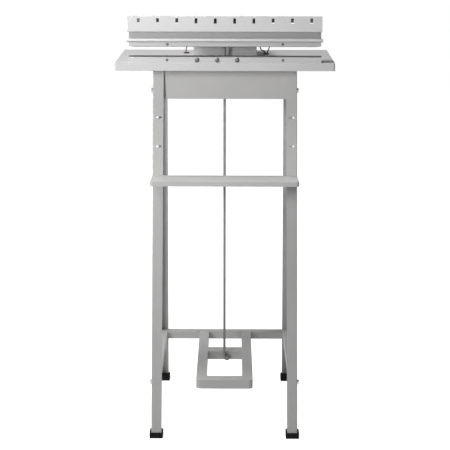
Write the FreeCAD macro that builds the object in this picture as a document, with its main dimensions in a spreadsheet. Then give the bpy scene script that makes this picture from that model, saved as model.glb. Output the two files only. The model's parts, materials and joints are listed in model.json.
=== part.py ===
import FreeCAD, Part
import math
import os
import re

# Foot-operated impulse heat sealer, in millimetres.
# X runs along the jaws, Y from the operator to the back, Z up from the floor.
# The origin is on the floor, in the middle of the machine's depth.

V = FreeCAD.Vector

SIZES = {
    # sheet metal
    "sheet": 2.0,
    # table top
    "table_half": 245.0,
    "table_front": -180.0,
    "table_rear": 108.0,
    "table_top_z": 887.0,
    "table_lip": 17.0,
    "table_corner": 4.0,
    # control box
    "box_half": 160.6,
    "box_front": -119.0,
    "box_rear": 100.4,
    "box_bottom": 799.0,
    "box_flange": 12.0,
    # legs, given where their outer corners would meet the floor
    "leg_corner": 172.55,
    "leg_splay": 0.011,
    "leg_foot_gap": 3.0,
    "leg_top": 884.8,
    "leg_side": 24.0,
    "front_leg_face": 24.3,
    "front_leg_floor": -177.0,
    "front_leg_lean": 0.0629,
    "rear_leg_face": 22.0,
    "rear_leg_floor": 244.3,
    "rear_leg_lean": -0.16,
    "leg_slot_long": 14.0,
    "leg_slot_tall": 4.2,
    "leg_slot_first": 757.5,
    "leg_slot_pitch": 66.0,
    # plastic feet
    "foot_width": 31.5,
    "foot_depth": 32.0,
    "foot_tall": 13.0,
    "foot_round": 3.0,
    # rails and rear cross bar
    "rail_outer": 168.6,
    "rail_inner": 150.0,
    "rail_top": 143.3,
    "rail_tall": 20.0,
    "rail_lip": 9.0,
    "rail_start": -164.5,
    "bar_front": 197.5,
    "bar_rear": 219.0,
    # bag shelf
    "shelf_half": 165.5,
    "shelf_depth": 110.0,
    "shelf_lip": 10.2,
    "shelf_height": 625.0,
    "shelf_tilt": 3.6,
    # bolts
    "bolt_radius": 3.0,
    "bolt_head": 5.0,
    "bolt_head_tall": 4.0,
    "upper_bolt_z": 817.0,
    "rear_bolt_z": 862.0,
    "bolt_inset": 8.4,
    "lower_bolt_z": 133.3,
    # lower jaw
    "jaw_half": 214.7,
    "jaw_front": -172.0,
    "jaw_rear": -142.0,
    "jaw_tall": 12.6,
    "seal_y": -156.0,
    "silicone_wide": 10.0,
    "silicone_proud": 1.8,
    "silicone_deep": 1.6,
    # head, drawn closed and then swung open about its hinge
    "hinge_y": 35.0,
    "hinge_z": 930.0,
    "head_open": 5.77,
    "head_gap": 0.3,
    "cover_half": 215.5,
    "cover_sheet": 1.5,
    "cover_front": -176.0,
    "cover_rear": -146.0,
    "cover_bottom": 934.6,
    "cover_top": 969.8,
    "cover_lip": 14.0,
    "vent_count": 10.0,
    "vent_pitch": 42.6,
    "vent_wide": 6.0,
    "vent_tall": 11.0,
    "vent_top_gap": 5.5,
    "arm_half": 75.2,
    "pedestal_half": 72.6,
    "pedestal_front": -55.0,
    "pin_radius": 5.0,
    "running_gap": 0.05,
    # pull rod
    "rod_radius": 3.0,
    "rod_x": -1.2,
    "eye_x": 4.8,
    "eye_y": 33.0,
    "eye_z": 130.0,
    "rod_top_y": -80.0,
    "rod_top_z": 966.0,
    "rod_hole": 6.0,
    # pedal
    "pedal_half": 66.5,
    "pedal_inner": 42.2,
    "pedal_front": -173.0,
    "pedal_bar_depth": 29.6,
    "pedal_top": 143.3,
    "pedal_tall": 21.2,
    "pedal_round": 10.0,
    "pedal_end": 195.3,
    "pivot_y": 208.5,
    "pivot_z": 131.0,
    "pivot_radius": 4.0,
    "member_front": 37.5,
    "member_rear": 71.0,
    # leads
    "lead_radius": 1.4,
}


class Sizes:
    pass


S = Sizes()
for alias, value in SIZES.items():
    setattr(S, alias, value)

doc = FreeCAD.newDocument("heat_sealer")
table = doc.addObject("Spreadsheet::Sheet", "Sizes")
for row, (alias, value) in enumerate(SIZES.items(), start=1):
    table.set(f"A{row}", alias)
    table.set(f"B{row}", str(value))
    table.setAlias(f"B{row}", alias)
doc.recompute()

ALIAS = re.compile(r"\b(" + "|".join(sorted(SIZES, key=len, reverse=True)) + r")\b")
nodes = []


def bound(text):
    """Points each alias in an expression at the sheet."""
    return ALIAS.sub(r"Sizes.\1", text)


def box(x, y, z):
    """A block between pairs of expressions."""
    block = doc.addObject("Part::Box", "Block")
    for size, place, (low, high) in zip(("Length", "Width", "Height"), "xyz", (x, y, z)):
        block.setExpression(size, bound(f"({high}) - ({low})"))
        block.setExpression(f"Placement.Base.{place}", bound(low))
    return block


def cylinder(radius, length, start, along):
    """A round bar from a point, along a direction."""
    bar = doc.addObject("Part::Cylinder", "Bar")
    bar.setExpression("Radius", bound(radius))
    bar.setExpression("Height", bound(length))
    bar.Placement = FreeCAD.Placement(start, FreeCAD.Rotation(V(0, 0, 1), along))
    return bar


def hexagon(across, length, start, along):
    """A six-sided bar from a point, along a direction."""
    bar = doc.addObject("Part::Prism", "Hexagon")
    bar.Polygon = 6
    bar.setExpression("Circumradius", bound(f"({across}) / 1.732"))
    bar.setExpression("Height", bound(length))
    bar.Placement = FreeCAD.Placement(start, FreeCAD.Rotation(V(0, 0, 1), along))
    return bar


def fuse(*shapes):
    if len(shapes) == 1:
        return shapes[0]
    joined = doc.addObject("Part::MultiFuse", "Joined")
    joined.Shapes = list(shapes)
    joined.Refine = True
    return joined


def cut(base, *tools):
    result = doc.addObject("Part::Cut", "Cut")
    result.Base = base
    result.Tool = fuse(*tools)
    result.Refine = True
    return result


def group(shapes):
    together = doc.addObject("Part::Compound", "Group")
    together.Links = list(shapes)
    return together


def rounded(points, radii):
    """Lines and tangent arcs round a closed outline."""
    corners = [V(*point, 0) for point in points]
    count = len(corners)
    starts = []
    ends = []
    arcs = []
    for index, corner in enumerate(corners):
        radius = radii[index] if isinstance(radii, (list, tuple)) else radii
        back = (corners[index - 1] - corner).normalize()
        ahead = (corners[(index + 1) % count] - corner).normalize()
        if radius == 0:
            starts.append(corner)
            ends.append(corner)
            arcs.append(None)
            continue
        half_turn = back.getAngle(ahead) / 2
        reach = radius / math.tan(half_turn)
        middle = corner + (back + ahead).normalize() * (radius / math.sin(half_turn))
        near = middle + (corner - middle).normalize() * radius
        starts.append(corner + back * reach)
        ends.append(corner + ahead * reach)
        arcs.append(Part.Arc(starts[-1], near, ends[-1]))
    edges = []
    for index in range(count):
        if arcs[index] is not None:
            edges.append(arcs[index])
        edges.append(Part.LineSegment(ends[index], starts[(index + 1) % count]))
    return edges


def pad(plane, points, radii, length, start=0.0, holes=()):
    """A body with one padded outline, centred on its plane or starting at an offset."""
    body = doc.addObject("PartDesign::Body", "Body")
    role = f"{plane}_Plane"
    origin_plane = next(item for item in body.Origin.OriginFeatures if item.Role == role)
    sketch = body.newObject("Sketcher::SketchObject", "Outline")
    sketch.AttachmentSupport = [(origin_plane, "")]
    sketch.MapMode = "FlatFace"
    sketch.addGeometry(rounded(points, radii), False)
    for hole_points, hole_radii in holes:
        sketch.addGeometry(rounded(hole_points, hole_radii), False)
    feature = body.newObject("PartDesign::Pad", "Pad")
    feature.Profile = sketch
    feature.setExpression("Length", bound(length))
    if start is None:
        feature.Midplane = True
    else:
        sketch.AttachmentOffset = FreeCAD.Placement(V(0, 0, start), FreeCAD.Rotation())
    body.Tip = feature
    return body


def rectangle(x0, x1, y0, y1):
    return [(x0, y0), (x1, y0), (x1, y1), (x0, y1)]


def node(name, shape, placement=None):
    """Names a finished piece, and moves it if it is drawn in another pose."""
    shape.Label = name
    if placement is not None:
        shape.Placement = placement.multiply(shape.Placement)
    nodes.append((name, shape))
    return shape


def both(make):
    """The same piece on the right and on the left."""
    return [make(1), make(-1)]


def tube(points, radius):
    """A round lead along straight runs joined by arcs as large as the runs allow."""
    edges = []
    radii = []
    start = points[0]
    for index in range(1, len(points) - 1):
        corner = points[index]
        back = (points[index - 1] - corner)
        ahead = (points[index + 1] - corner)
        reach = 0.45 * min(back.Length, ahead.Length)
        back.normalize()
        ahead.normalize()
        half_turn = back.getAngle(ahead) / 2
        bend = reach * math.tan(half_turn)
        radii.append(round(bend, 1))
        middle = corner + (back + ahead).normalize() * (bend / math.sin(half_turn))
        near = middle + (corner - middle).normalize() * bend
        enter = corner + back * reach
        leave = corner + ahead * reach
        edges.append(Part.LineSegment(start, enter).toShape())
        edges.append(Part.Arc(enter, near, leave).toShape())
        start = leave
    edges.append(Part.LineSegment(start, points[-1]).toShape())
    path = Part.Wire(edges)
    first = (points[1] - points[0]).normalize()
    section = Part.Wire([Part.makeCircle(radius, points[0], first)])
    solid = path.makePipeShell([section], True, False)
    expected = math.pi * radius**2 * path.Length
    print("lead: length", round(path.Length, 1), "bend radii", radii,
          "volume ratio", round(solid.Volume / expected, 4))
    return solid


# Table top: a tray with its lip turned down
plate = pad("XY", rectangle(-S.table_half, S.table_half, S.table_front, S.table_rear),
            S.table_corner, "table_lip", S.table_top_z - S.table_lip)
hollow = box(("-table_half + sheet", "table_half - sheet"),
             ("table_front + sheet", "table_rear - sheet"),
             ("table_top_z - table_lip - 1", "table_top_z - sheet"))


def rod_y(z):
    """Depth of the leaning pull rod at a height."""
    share = (z - S.eye_z) / (S.rod_top_z - S.eye_z)
    return S.eye_y + share * (S.rod_top_y - S.eye_y)


ROD_SLOT_WIDE = 16.0
ROD_SLOT_LONG = 26.0
rod_slot = box((f"rod_x - {ROD_SLOT_WIDE / 2}", f"rod_x + {ROD_SLOT_WIDE / 2}"),
               (f"{rod_y(S.table_top_z) - ROD_SLOT_LONG / 2}", f"{rod_y(S.table_top_z) + ROD_SLOT_LONG / 2}"),
               ("table_top_z - 5", "table_top_z + 1"))
GROMMET_SPOTS = [V(-92, 30, 0), V(96, 8, 0)]
GROMMET_RADIUS = 5.0
grommet_holes = [
    cylinder(f"{GROMMET_RADIUS}", "sheet + 2", spot + V(0, 0, S.table_top_z - S.sheet - 1), V(0, 0, 1))
    for spot in GROMMET_SPOTS
]
node("table_top", cut(plate, hollow, rod_slot, *grommet_holes))

# Control box: four walls with flanges turned in at the bottom
WALL_TOP = "table_top_z - sheet"
box_outside = box(("-box_half", "box_half"), ("box_front", "box_rear"), ("box_bottom", WALL_TOP))
box_inside = box(("-box_half + sheet", "box_half - sheet"), ("box_front + sheet", "box_rear - sheet"),
                 ("box_bottom + sheet", "table_top_z"))
box_mouth = box(("-box_half + box_flange", "box_half - box_flange"),
                ("box_front + box_flange", "box_rear - box_flange"),
                ("box_bottom - 1", "box_bottom + sheet + 1"))
BACK = V(0, 1, 0)
SWITCH_X = -95.0
KNOB_X = -20.0
FUSE_X = 45.0
GLAND_X = 100.0
PANEL_Z = 838.0
switch_hole = box((f"{SWITCH_X - 13.5}", f"{SWITCH_X + 13.5}"), ("box_rear - 5", "box_rear + 5"),
                  (f"{PANEL_Z - 9.5}", f"{PANEL_Z + 9.5}"))


def panel_hole(x, radius):
    return cylinder(f"{radius}", "10", V(x, S.box_rear - 5, PANEL_Z), BACK)


LEG_HOLE = 3.3


def side_bolt_y(z, front):
    """Depth of a bolt: just inside the box at its top, and in the middle of the leg's flange near the floor."""
    if z > S.box_bottom:
        return S.box_front + S.bolt_inset if front else S.box_rear - S.bolt_inset
    if front:
        return S.front_leg_floor + S.front_leg_lean * z + S.leg_side / 2
    return S.rear_leg_floor + S.rear_leg_lean * z - S.leg_side / 2


def side_hole(z, front):
    return cylinder(f"{LEG_HOLE}", "2 * leg_corner + 20",
                    V(-S.leg_corner - 10, side_bolt_y(z, front), z), V(1, 0, 0))


node("control_box", cut(box_outside, box_inside, box_mouth, switch_hole, panel_hole(KNOB_X, 5.2),
                        panel_hole(FUSE_X, 6.2), panel_hole(GLAND_X, 7.2),
                        side_hole(S.upper_bolt_z, True), side_hole(S.rear_bolt_z, False)))

# Bottom cover of the box, lying on the flanges inside, with a hole for the rod's bush
BUSH_RADIUS = 13.0
bush_y = rod_y(S.box_bottom)
cover_sheet = box(("-box_half + sheet + 0.5", "box_half - sheet - 0.5"),
                  ("box_front + sheet + 0.5", "box_rear - sheet - 0.5"),
                  ("box_bottom + sheet", "box_bottom + 2 * sheet"))
cover_hole = cylinder(f"{BUSH_RADIUS - 2}", "20", V(S.rod_x, bush_y, S.box_bottom - 5), V(0, 0, 1))
node("box_bottom_cover", cut(cover_sheet, cover_hole))
bush_flange = cylinder(f"{BUSH_RADIUS}", "box_bottom + sheet - (box_bottom - 3)",
                       V(S.rod_x, bush_y, S.box_bottom - 3), V(0, 0, 1))
bush_neck = cylinder(f"{BUSH_RADIUS - 2.05}", "3 * sheet + 2", V(S.rod_x, bush_y, S.box_bottom - 3), V(0, 0, 1))
bush_bore = cylinder(f"{BUSH_RADIUS - 5.5}", "30", V(S.rod_x, bush_y, S.box_bottom - 10), V(0, 0, 1))
node("rod_bush", cut(fuse(bush_flange, bush_neck), bush_bore))


# Legs: angle section, leaning to front or back and a little outwards
def leg_prism(side, front, z0, z1, grow=0.0):
    """A leg's angle section between two heights, enlarged by grow for a socket."""
    face = S.front_leg_face if front else S.rear_leg_face
    floor_y = S.front_leg_floor if front else S.rear_leg_floor
    lean = S.front_leg_lean if front else S.rear_leg_lean
    inward = 1 if front else -1
    corner = V(side * S.leg_corner, floor_y, 0)

    def at(across, deep):
        return (corner.x - side * across, corner.y + inward * deep)

    thick = S.sheet + grow
    outline = [at(-grow, -grow), at(face + grow, -grow), at(face + grow, thick), at(thick, thick),
               at(thick, S.leg_side + grow), at(-grow, S.leg_side + grow)]
    sketch = doc.addObject("Sketcher::SketchObject", "LegSection")
    sketch.addGeometry(rounded(outline, [S.sheet, 0, 0, 0.5, 0, 0]), False)
    slope = V(-side * S.leg_splay, lean, 1)
    sketch.Placement = FreeCAD.Placement(slope * z0, FreeCAD.Rotation())
    prism = doc.addObject("Part::Extrusion", "LegPrism")
    prism.Base = sketch
    prism.DirMode = "Custom"
    prism.Dir = slope
    prism.LengthFwd = (z1 - z0) * slope.Length
    prism.Solid = True
    return prism


def leg_slot(side, z):
    middle = side * (S.leg_corner - S.leg_splay * z - S.front_leg_face / 2 - 1.3)
    y = S.front_leg_floor + S.front_leg_lean * z
    straight = (S.leg_slot_long - S.leg_slot_tall) / 2
    ends = [
        cylinder("leg_slot_tall / 2", "20", V(middle + way * straight, y - 10, z), BACK)
        for way in (-1, 1)
    ]
    bridge = box((f"{middle - straight}", f"{middle + straight}"), (f"{y - 10}", f"{y + 10}"),
                 (f"{z} - leg_slot_tall / 2", f"{z} + leg_slot_tall / 2"))
    return fuse(bridge, *ends)


SIDES = {1: "right", -1: "left"}
SHELF_SCREW_Z = -5.6
SLOT_HEIGHTS = (S.leg_slot_first, S.leg_slot_first - S.leg_slot_pitch, S.shelf_height + SHELF_SCREW_Z)
for side, word in SIDES.items():
    front_leg = leg_prism(side, True, S.leg_foot_gap, S.leg_top)
    slots = [leg_slot(side, height) for height in SLOT_HEIGHTS]
    node(f"front_leg_{word}", cut(front_leg, side_hole(S.upper_bolt_z, True),
                                  side_hole(S.lower_bolt_z, True), *slots))
    rear_leg = leg_prism(side, False, S.leg_foot_gap, S.leg_top)
    node(f"rear_leg_{word}", cut(rear_leg, side_hole(S.rear_bolt_z, False),
                                 side_hole(S.lower_bolt_z, False)))

# Feet: plastic caps with a socket for the leg's end
FRONT_FOOT_X = 160.9
REAR_FOOT_X = 162.3
for side, word in SIDES.items():
    for front in (True, False):
        middle = side * (FRONT_FOOT_X if front else REAR_FOOT_X)
        if front:
            y0 = S.table_front
        else:
            y0 = S.rear_leg_floor + 4.0 - S.foot_depth
        outline = rectangle(middle - S.foot_width / 2, middle + S.foot_width / 2, y0, y0 + S.foot_depth)
        foot = pad("XY", outline, S.foot_round, "foot_tall", 0.0)
        socket = leg_prism(side, front, S.leg_foot_gap, S.foot_tall + 5, 0.1)
        node(f"{'front' if front else 'rear'}_foot_{word}", cut(foot, socket))

# Side rails: channels open downwards between front and rear legs
for side, word in SIDES.items():
    section = [(S.rail_outer, S.rail_top), (S.rail_outer, S.rail_top - S.rail_tall),
               (S.rail_outer - S.sheet, S.rail_top - S.rail_tall), (S.rail_outer - S.sheet, S.rail_top - S.sheet),
               (S.rail_inner + S.sheet, S.rail_top - S.sheet), (S.rail_inner + S.sheet, S.rail_top - S.rail_lip),
               (S.rail_inner, S.rail_top - S.rail_lip), (S.rail_inner, S.rail_top)]
    section = [(side * x, z) for x, z in section]
    rail = pad("XZ", section, [S.sheet, 0, 0, 0, 0, 0, 0, S.sheet], "bar_front - 0.2 - rail_start",
               -(S.bar_front - 0.2))
    node(f"side_rail_{word}", cut(rail, side_hole(S.lower_bolt_z, True)))

# Rear cross bar: a channel open downwards, notched in front for the pedal's arms
arm_middle = (S.pedal_half + S.pedal_inner) / 2
NOTCH_HALF = 12.0
NOTCH_TOP = 138.5
section = [(S.bar_front, S.rail_top), (S.bar_front, S.rail_top - S.rail_tall),
           (S.bar_front + S.sheet, S.rail_top - S.rail_tall), (S.bar_front + S.sheet, S.rail_top - S.sheet),
           (S.bar_rear - S.sheet, S.rail_top - S.sheet), (S.bar_rear - S.sheet, S.rail_top - S.rail_tall),
           (S.bar_rear, S.rail_top - S.rail_tall), (S.bar_rear, S.rail_top)]
cross_bar = pad("YZ", section, [S.sheet, 0, 0, 0, 0, 0, 0, S.sheet], "2 * rail_outer", None)
notches = both(lambda side: box((f"{side * arm_middle - NOTCH_HALF}", f"{side * arm_middle + NOTCH_HALF}"),
                                ("bar_front - 5", "bar_front + 5"),
                                ("rail_top - rail_tall - 5", f"{NOTCH_TOP}")))

# Four ears welded under the cross bar, and the pedal's pivot pin in them
EAR_GAP = 13.0
EAR_THICK = 2.5
ears = []
for side in SIDES:
    for way in (-1, 1):
        inner = side * arm_middle + way * EAR_GAP
        low, high = sorted((inner, inner + way * EAR_THICK))
        ear = box((f"{low}", f"{high}"), ("bar_front + sheet + 1", "bar_rear - sheet"),
                  ("pivot_z - 7", "rail_top - sheet"))
        ears.append(ear)
PIN_HALF = 74.0
pivot_hole = cylinder("pivot_radius", f"{2 * PIN_HALF + 20}",
                      V(-PIN_HALF - 10, S.pivot_y, S.pivot_z), V(1, 0, 0))
node("rear_cross_bar", cut(fuse(cut(cross_bar, *notches), *ears), pivot_hole))
node("pedal_pivot_pin", cylinder("pivot_radius", f"{2 * PIN_HALF}",
                                 V(-PIN_HALF, S.pivot_y, S.pivot_z), V(1, 0, 0)))

# Bag shelf: a tray on the front legs, square to them
shelf_rear_y = S.front_leg_floor + S.front_leg_lean * S.shelf_height - 0.1
shelf_place = FreeCAD.Placement(V(0, shelf_rear_y, S.shelf_height),
                                FreeCAD.Rotation(V(1, 0, 0), -S.shelf_tilt))
shelf_block = pad("XY", rectangle(-S.shelf_half, S.shelf_half, -S.shelf_depth, 0), [6, 6, 0, 0],
                  "shelf_lip", -S.shelf_lip)
SHELF_SHEET = 1.5
shelf_hollow = box((f"-shelf_half + {SHELF_SHEET}", f"shelf_half - {SHELF_SHEET}"),
                   (f"-shelf_depth + {SHELF_SHEET}", f"-{SHELF_SHEET}"),
                   ("-shelf_lip - 1", f"-{SHELF_SHEET}"))
shelf_screw_spots = []
for side in SIDES:
    x = side * (S.leg_corner - S.leg_splay * S.shelf_height - S.front_leg_face / 2 - 1.3)
    shelf_screw_spots.append(x)
shelf_holes = [cylinder("2.1", "10", V(x, -5, SHELF_SCREW_Z), BACK) for x in shelf_screw_spots]
node("bag_shelf", cut(shelf_block, shelf_hollow, *shelf_holes), shelf_place)
shelf_screws = []
for x in shelf_screw_spots:
    head = cylinder("3.6", "2.4", V(x, -SHELF_SHEET - 2.4, SHELF_SCREW_Z), BACK)
    shank = cylinder("1.9", "12", V(x, -SHELF_SHEET - 1, SHELF_SCREW_Z), BACK)
    nut = hexagon("7", "3", V(x, 2.3, SHELF_SCREW_Z), BACK)
    shelf_screws.append(fuse(head, shank, nut))
node("shelf_screws", group(shelf_screws), shelf_place)

# Hexagon bolts through the legs into box and rails, with nuts inside
bolts = []
for side in SIDES:
    outwards = V(side, 0, 0)
    for z, front, inner_face in (
        (S.upper_bolt_z, True, S.box_half - S.sheet),
        (S.rear_bolt_z, False, S.box_half - S.sheet),
        (S.lower_bolt_z, True, S.rail_outer - S.sheet),
        (S.lower_bolt_z, False, S.leg_corner - S.leg_splay * S.lower_bolt_z - S.sheet - 0.1),
    ):
        y = side_bolt_y(z, front)
        outer_face = S.leg_corner - S.leg_splay * z + 0.05
        head = hexagon("2 * bolt_head", "bolt_head_tall", V(side * outer_face, y, z), outwards)
        shank = cylinder("bolt_radius", f"{outer_face - inner_face + 7}", V(side * (inner_face - 7), y, z), outwards)
        nut = hexagon("2 * bolt_head", "4.8", V(side * (inner_face - 4.9), y, z), outwards)
        bolts.append(fuse(head, shank, nut))
node("leg_bolts", group(bolts))

# Lower jaw: a bar on the table with a silicone strip let into its top
jaw_top = S.table_top_z + S.jaw_tall
groove_half = S.silicone_wide / 2
section = [(S.jaw_front, S.table_top_z), (S.jaw_front, jaw_top),
           (S.seal_y - groove_half, jaw_top), (S.seal_y - groove_half, jaw_top - S.silicone_deep),
           (S.seal_y + groove_half, jaw_top - S.silicone_deep), (S.seal_y + groove_half, jaw_top),
           (S.jaw_rear, jaw_top), (S.jaw_rear, S.table_top_z)]
jaw_bar = pad("YZ", section, [0, 1.2, 0, 0, 0, 0, 1.2, 0], "2 * jaw_half", None)
SCREW_DEEP = 5.0
DOME_SPOTS = (-62.0, -17.0, 27.0)
SMALL_SPOTS = (-129.0, 129.0)
JAW_SCREW_Z = 893.4
jaw_holes = [cylinder("2.1", f"{SCREW_DEEP}", V(x, S.jaw_front - 0.1, JAW_SCREW_Z), BACK)
             for x in DOME_SPOTS + SMALL_SPOTS]
node("lower_jaw_bar", cut(jaw_bar, *jaw_holes))
silicone_top = jaw_top + S.silicone_proud
section = [(S.seal_y - groove_half, jaw_top - S.silicone_deep), (S.seal_y + groove_half, jaw_top - S.silicone_deep),
           (S.seal_y + groove_half, silicone_top), (S.seal_y - groove_half, silicone_top)]
node("silicone_strip", pad("YZ", section, [0, 0, 1.0, 1.0], "2 * jaw_half + 1", None))


def screw(x, y, z, head_radius, head_tall, shank, towards=-1):
    """A domed screw whose head stands out along Y."""
    out = V(0, towards, 0)
    ball_radius = (head_radius**2 + head_tall**2) / (2 * head_tall)
    face = V(x, y, z)
    ball = doc.addObject("Part::Sphere", "Dome")
    ball.Radius = ball_radius
    ball.Placement.Base = face - out * (ball_radius - head_tall)
    slab = cylinder(f"{head_radius}", f"{head_tall + 1}", face, out)
    dome = doc.addObject("Part::Common", "Head")
    dome.Base = ball
    dome.Tool = slab
    return fuse(dome, cylinder("2", f"{shank}", face - out * shank, out))


node("dome_screws", group([screw(x, S.jaw_front, JAW_SCREW_Z, 5.4, 3.0, 4.5) for x in DOME_SPOTS]))
node("lower_strip_screws", group([screw(x, S.jaw_front, JAW_SCREW_Z, 3.2, 1.6, 4.5) for x in SMALL_SPOTS]))

# Hinge pedestal: a folded bracket on the table behind the jaws
PEDESTAL_REAR = 50.0
PEDESTAL_TOP = 940.0
PEDESTAL_FRONT_TOP = 926.0
wall_outline = [(S.pedestal_front, S.table_top_z), (PEDESTAL_REAR, S.table_top_z),
                (PEDESTAL_REAR, PEDESTAL_TOP), (S.hinge_y - 14, PEDESTAL_TOP),
                (S.pedestal_front, PEDESTAL_FRONT_TOP)]
pedestal_block = pad("YZ", wall_outline, [0, 0, 10, 8, 0], "2 * pedestal_half", None)
pedestal_hollow = box(("-pedestal_half + sheet", "pedestal_half - sheet"),
                      ("pedestal_front + sheet", f"{PEDESTAL_REAR} + 1"),
                      ("table_top_z - 1", f"{PEDESTAL_TOP} + 1"))
pedestal_feet = both(lambda side: box(
    (f"{side} * (pedestal_half - sheet / 2) - sheet / 2 - {14 if side > 0 else 0}",
     f"{side} * (pedestal_half - sheet / 2) + sheet / 2 + {14 if side < 0 else 0}"),
    ("pedestal_front + 12", f"{PEDESTAL_REAR}"), ("table_top_z", "table_top_z + sheet")))
pin_hole = cylinder("pin_radius", "2 * arm_half + 20", V(-S.arm_half - 10, S.hinge_y, S.hinge_z), V(1, 0, 0))
node("hinge_pedestal", cut(fuse(cut(pedestal_block, pedestal_hollow), *pedestal_feet), pin_hole))
pedestal_screws = []
for side in SIDES:
    for y in (S.pedestal_front + 30, PEDESTAL_REAR - 16):
        spot = V(side * (S.pedestal_half - 9), y, S.table_top_z + S.sheet)
        pedestal_screws.append(hexagon("8", "3.2", spot, V(0, 0, 1)))
node("pedestal_screws", group(pedestal_screws))
PIN_REACH = 81.0
pin_shaft = cylinder("pin_radius", f"{2 * PIN_REACH}", V(-PIN_REACH, S.hinge_y, S.hinge_z), V(1, 0, 0))
pin_caps = both(lambda side: cylinder("pin_radius + 3", "2.5", V(side * (PIN_REACH - 2.5), S.hinge_y, S.hinge_z),
                                      V(side, 0, 0)))
node("hinge_pin", fuse(pin_shaft, *pin_caps))

# Head, drawn closed on the lower jaw and swung open about the hinge pin
hinge = V(0, S.hinge_y, S.hinge_z)
swing = FreeCAD.Rotation(V(1, 0, 0), -S.head_open)
head_pose = FreeCAD.Placement(hinge - swing.multVec(hinge), swing)
cloth_bottom = silicone_top + S.head_gap
CLOTH = 0.5
RIBBON = 0.4
INSULATION = 1.0
CLOTH_HALF_WIDE = 11.8
CLOTH_UP = 5.0
ribbon_bottom = cloth_bottom + CLOTH
insulation_bottom = ribbon_bottom + RIBBON
bar_bottom = insulation_bottom + INSULATION
cloth_front = S.seal_y - CLOTH_HALF_WIDE
cloth_rear = S.seal_y + CLOTH_HALF_WIDE
section = [(cloth_front, cloth_bottom), (cloth_rear, cloth_bottom), (cloth_rear, bar_bottom + CLOTH_UP),
           (cloth_rear - CLOTH, bar_bottom + CLOTH_UP), (cloth_rear - CLOTH, ribbon_bottom),
           (cloth_front + CLOTH, ribbon_bottom), (cloth_front + CLOTH, bar_bottom + CLOTH_UP),
           (cloth_front, bar_bottom + CLOTH_UP)]
CLOTH_HALF_LONG = 204.0
node("release_cloth", pad("YZ", section, 0, f"{2 * CLOTH_HALF_LONG}", None), head_pose)
RIBBON_WIDE = 5.0
RIBBON_HALF_LONG = 210.0
section = rectangle(S.seal_y - RIBBON_WIDE / 2, S.seal_y + RIBBON_WIDE / 2, ribbon_bottom, insulation_bottom)
node("heating_ribbon", pad("YZ", section, 0, f"{2 * RIBBON_HALF_LONG}", None), head_pose)
INSULATION_WIDE = 16.0
section = rectangle(S.seal_y - INSULATION_WIDE / 2, S.seal_y + INSULATION_WIDE / 2, insulation_bottom, bar_bottom)
node("insulation_strip", pad("YZ", section, 0, f"{2 * RIBBON_HALF_LONG}", None), head_pose)

# Upper jaw bar: an extrusion with a seat for the edge moulding and a web up to the arm
UPPER_HALF = 213.7
STRIP_TOP = 911.8
NOSE_TOP = 920.2
WEB_FRONT = -166.0
WEB_REAR = -150.0
BAR_TOP = 946.0
section = [(cloth_front + CLOTH, bar_bottom), (cloth_rear - CLOTH, bar_bottom),
           (cloth_rear - CLOTH, NOSE_TOP), (WEB_REAR, NOSE_TOP + 6), (WEB_REAR, BAR_TOP), (WEB_FRONT, BAR_TOP),
           (WEB_FRONT, NOSE_TOP), (cloth_front + CLOTH, NOSE_TOP)]
bar_body = pad("YZ", section, [0.5, 0.5, 0, 0, 0, 0, 0, 0], f"{2 * UPPER_HALF}", None)
node("upper_jaw_bar", bar_body, head_pose)
NOSE_FRONT = -176.0
NOSE_HALF = 217.6
nose_seat = cloth_front + CLOTH
section = [(nose_seat, STRIP_TOP + 0.3), (nose_seat, NOSE_TOP), (NOSE_FRONT + 4, NOSE_TOP),
           (NOSE_FRONT, NOSE_TOP - 4), (NOSE_FRONT, STRIP_TOP + 2.3), (NOSE_FRONT + 3, STRIP_TOP + 0.3)]
node("jaw_edge_moulding", pad("YZ", section, [0, 0, 1.5, 1.5, 1, 0], f"{2 * NOSE_HALF}", None), head_pose)
STRIP_THICK = 3.0
STRIP_BOTTOM = 902.6
STRIP_SCREW_X = (-128.0, 128.0)
strip_face = cloth_front - STRIP_THICK
front_strip = pad("XZ", rectangle(-UPPER_HALF, UPPER_HALF, STRIP_BOTTOM, STRIP_TOP), [2.5, 2.5, 0, 0],
                  f"{STRIP_THICK}", -cloth_front)
strip_z = (STRIP_BOTTOM + STRIP_TOP) / 2


def strip_holes(y):
    return [cylinder("2.1", "10", V(x, y - 5, strip_z), BACK) for x in STRIP_SCREW_X]


node("front_clamp_strip", cut(front_strip, *strip_holes(cloth_front)), head_pose)
rear_strip = pad("XZ", rectangle(-UPPER_HALF, UPPER_HALF, STRIP_BOTTOM, STRIP_TOP), [2.5, 2.5, 0, 0],
                 f"{STRIP_THICK}", -cloth_rear - STRIP_THICK)
node("rear_clamp_strip", cut(rear_strip, *strip_holes(cloth_rear)), head_pose)
HEAD_TALL = 1.6
STRIP_SHANK = STRIP_THICK - 0.1
clamp_screws = []
for x in STRIP_SCREW_X:
    clamp_screws.append(screw(x, strip_face, strip_z, 3.2, HEAD_TALL, STRIP_SHANK))
    clamp_screws.append(screw(x, cloth_rear + STRIP_THICK, strip_z, 3.2, HEAD_TALL, STRIP_SHANK, 1))
node("clamp_screws", group(clamp_screws), head_pose)

# Ribbon terminals behind the ends of the upper jaw
TERMINAL_X = 203.0
terminals = []
for side in SIDES:
    low, high = sorted((side * TERMINAL_X, side * (TERMINAL_X + 10)))
    terminals.append(box((f"{low}", f"{high}"), (f"{cloth_rear - CLOTH}", f"{cloth_rear + 9}"),
                         (f"{STRIP_TOP + 0.5}", f"{NOSE_TOP}")))
node("ribbon_terminals", group(terminals), head_pose)

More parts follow.
